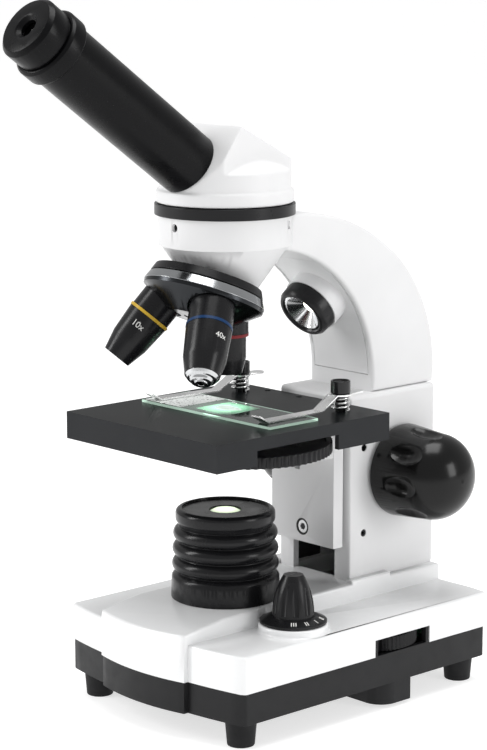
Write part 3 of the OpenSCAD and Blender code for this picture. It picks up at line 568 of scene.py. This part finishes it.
def magnifications():
    """Each objective's magnification, on the side of its barrel that is in view at rest.

    A row is the words, the seat, the ring above them, their height, how far they are below the ring,
    the barrel's radius there, its side's slope, and the turn round the barrel in degrees.
    """
    for words, seat, ring, height, drop, radius, taper, turn in (
        ("10x", 1, "yellow_ring", 3.6, 5.6, 8.28, 0.077, -172),
        ("40x", 2, "blue_ring", 3.2, 6.4, 8.75, 0.045, 105),
        ("4x", 0, "red_ring", 3.2, 5.4, 8.42, 0.0, -50),
    ):
        place = on_barrel(seat, ring, drop * MM, radius * MM, taper, turn)
        lettering("mark_" + words, words, height * MM, place, "nosepiece", "objective_black")


def selector_marks():
    """The three lamp settings and a plain ribbed square round the selector's flange.

    The flange is a shallow cone, and the marks are bars that lie on it, from one distance inside its
    rim to another. A group of bars is its turn in degrees, the half width of a bar, and their shifts.
    """
    centre = centre_of("selector_knob")
    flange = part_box("selector_knob")[1].x - centre.x
    rim_z = selector_pad_z + 1.2 * MM
    slope = 1.7 / 4.1
    from_rim, to_rim = 1.1, 3.1
    bar, thin_bar = 0.2, 0.12
    bm = bmesh.new()
    for turn, half, shifts in ((-43, bar, (-0.9, 0, 0.9)), (-16, bar, (-0.45, 0.45)), (9, bar, (0,)),
                               (35, thin_bar, (-0.8, -0.4, 0, 0.4, 0.8))):
        for shift in shifts:
            corners = []
            for out in (0.02, 0.07):
                for inward, side in ((from_rim, -half), (from_rim, half), (to_rim, half), (to_rim, -half)):
                    flat = Vector((flange - inward * MM, (shift + side) * MM, 0))
                    flat.rotate(Matrix.Rotation(math.radians(turn), 3, "Z"))
                    corners.append(bm.verts.new((centre.x + flat.x, centre.y + flat.y,
                                                 rim_z + inward * MM * slope + out * MM)))
            for face in ((0, 1, 2, 3), (4, 5, 6, 7), (0, 1, 5, 4), (1, 2, 6, 5), (2, 3, 7, 6), (3, 0, 4, 7)):
                bm.faces.new([corners[i] for i in face])
    finished(bm, "selector_marks", "selector", "control_black", 20, M["ink_white"])


def screw_ring(name, from_head, outer, inner, depth, sides=48):
    """A plain ring round the bracket screw's axis, starting at a distance behind its head's face."""
    centre = centre_of("bracket_screw")
    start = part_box("bracket_screw")[0].y + from_head * MM
    bm = bmesh.new()
    loops = []
    for y, r in ((0, outer), (0, inner), (depth, inner), (depth, outer)):
        loops.append([bm.verts.new((r * MM * math.cos(math.tau * i / sides), start + y * MM,
                                    centre.z + r * MM * math.sin(math.tau * i / sides)))
                      for i in range(sides)])
    for first, second in zip(loops, loops[1:] + loops[:1]):
        for i in range(sides):
            k = (i + 1) % sides
            bm.faces.new((first[i], first[k], second[k], second[i]))
    finished(bm, name, "stage", "rail_grey")


coil_springs()
specimen()
magnifications()
selector_marks()
# Painted shade: a dark ring round the screw head, standing in for the shade in the recess round it
screw_ring("screw_washer", -0.2, 3.55, 2.75, 1.2)
# Painted shade: a dark disc just inside the screw's socket, standing in for the shade in the hole
screw_ring("screw_socket", 0.35, 1.28, 0.05, 0.3)


# ---------- ground, light and camera ----------


def ground():
    """A plain white sweep, faintly lit from within so that it stays pale to the horizon."""
    bm = bmesh.new()
    bmesh.ops.create_grid(bm, x_segments=1, y_segments=1, size=60)
    data = bpy.data.meshes.new("ground")
    bm.to_mesh(data)
    bm.free()
    floor = added("ground", data)
    surface("ground", (0.6, 0.6, 0.6), 0.7, grain=300, grain_bump=0.0, vary=0.002, spec=0.1)
    glow = M["ground"].node_tree.nodes["Principled BSDF"].inputs
    glow["Emission Color"].default_value = (1, 1, 1, 1)
    glow["Emission Strength"].default_value = 0.66
    paint(floor, M["ground"])


def studio_world():
    """An even white surround."""
    world = bpy.data.worlds.new("studio")
    world.use_nodes = True
    surround = world.node_tree.nodes["Background"].inputs
    surround["Color"].default_value = (1, 1, 1, 1)
    surround["Strength"].default_value = 0.55
    bpy.context.scene.world = world
    bpy.context.scene.view_settings.view_transform = "Standard"


def area_light(name, place, target, size, power):
    """A soft rectangular light at a place, aimed at a target."""
    data = bpy.data.lights.new(name, "AREA")
    data.shape = "RECTANGLE"
    data.size, data.size_y = size
    data.energy = power
    obj = added(name, data)
    obj.location = place
    obj.rotation_euler = (Vector(target) - Vector(place)).to_track_quat("-Z", "Y").to_euler()


def camera(place, back):
    """A long lens at a place, looking away from the direction called back."""
    data = bpy.data.cameras.new("camera")
    data.lens = 113.84
    data.sensor_width = 36
    data.clip_start = 0.05
    obj = added("camera", data)
    back = Vector(back).normalized()
    right = Vector((0, 0, 1)).cross(back).normalized()
    turned = Matrix((right, back.cross(right), back)).transposed().to_4x4()
    obj.matrix_world = Matrix.Translation(place) @ turned
    bpy.context.scene.camera = obj


ground()
studio_world()
area_light("key", (-0.75, -0.9, 0.7), (0, 0, 0.14), (0.3, 0.9), 8)
area_light("side", (1.15, 0.42, 0.42), (0, 0.02, 0.12), (0.4, 0.55), 3.9)
area_light("top", (0.1, 0.1, 1.3), (0, 0, 0.14), (0.7, 0.7), 9.5)
camera((0.6860, -0.6242, 0.3073), (0.7220, -0.6674, 0.1823))
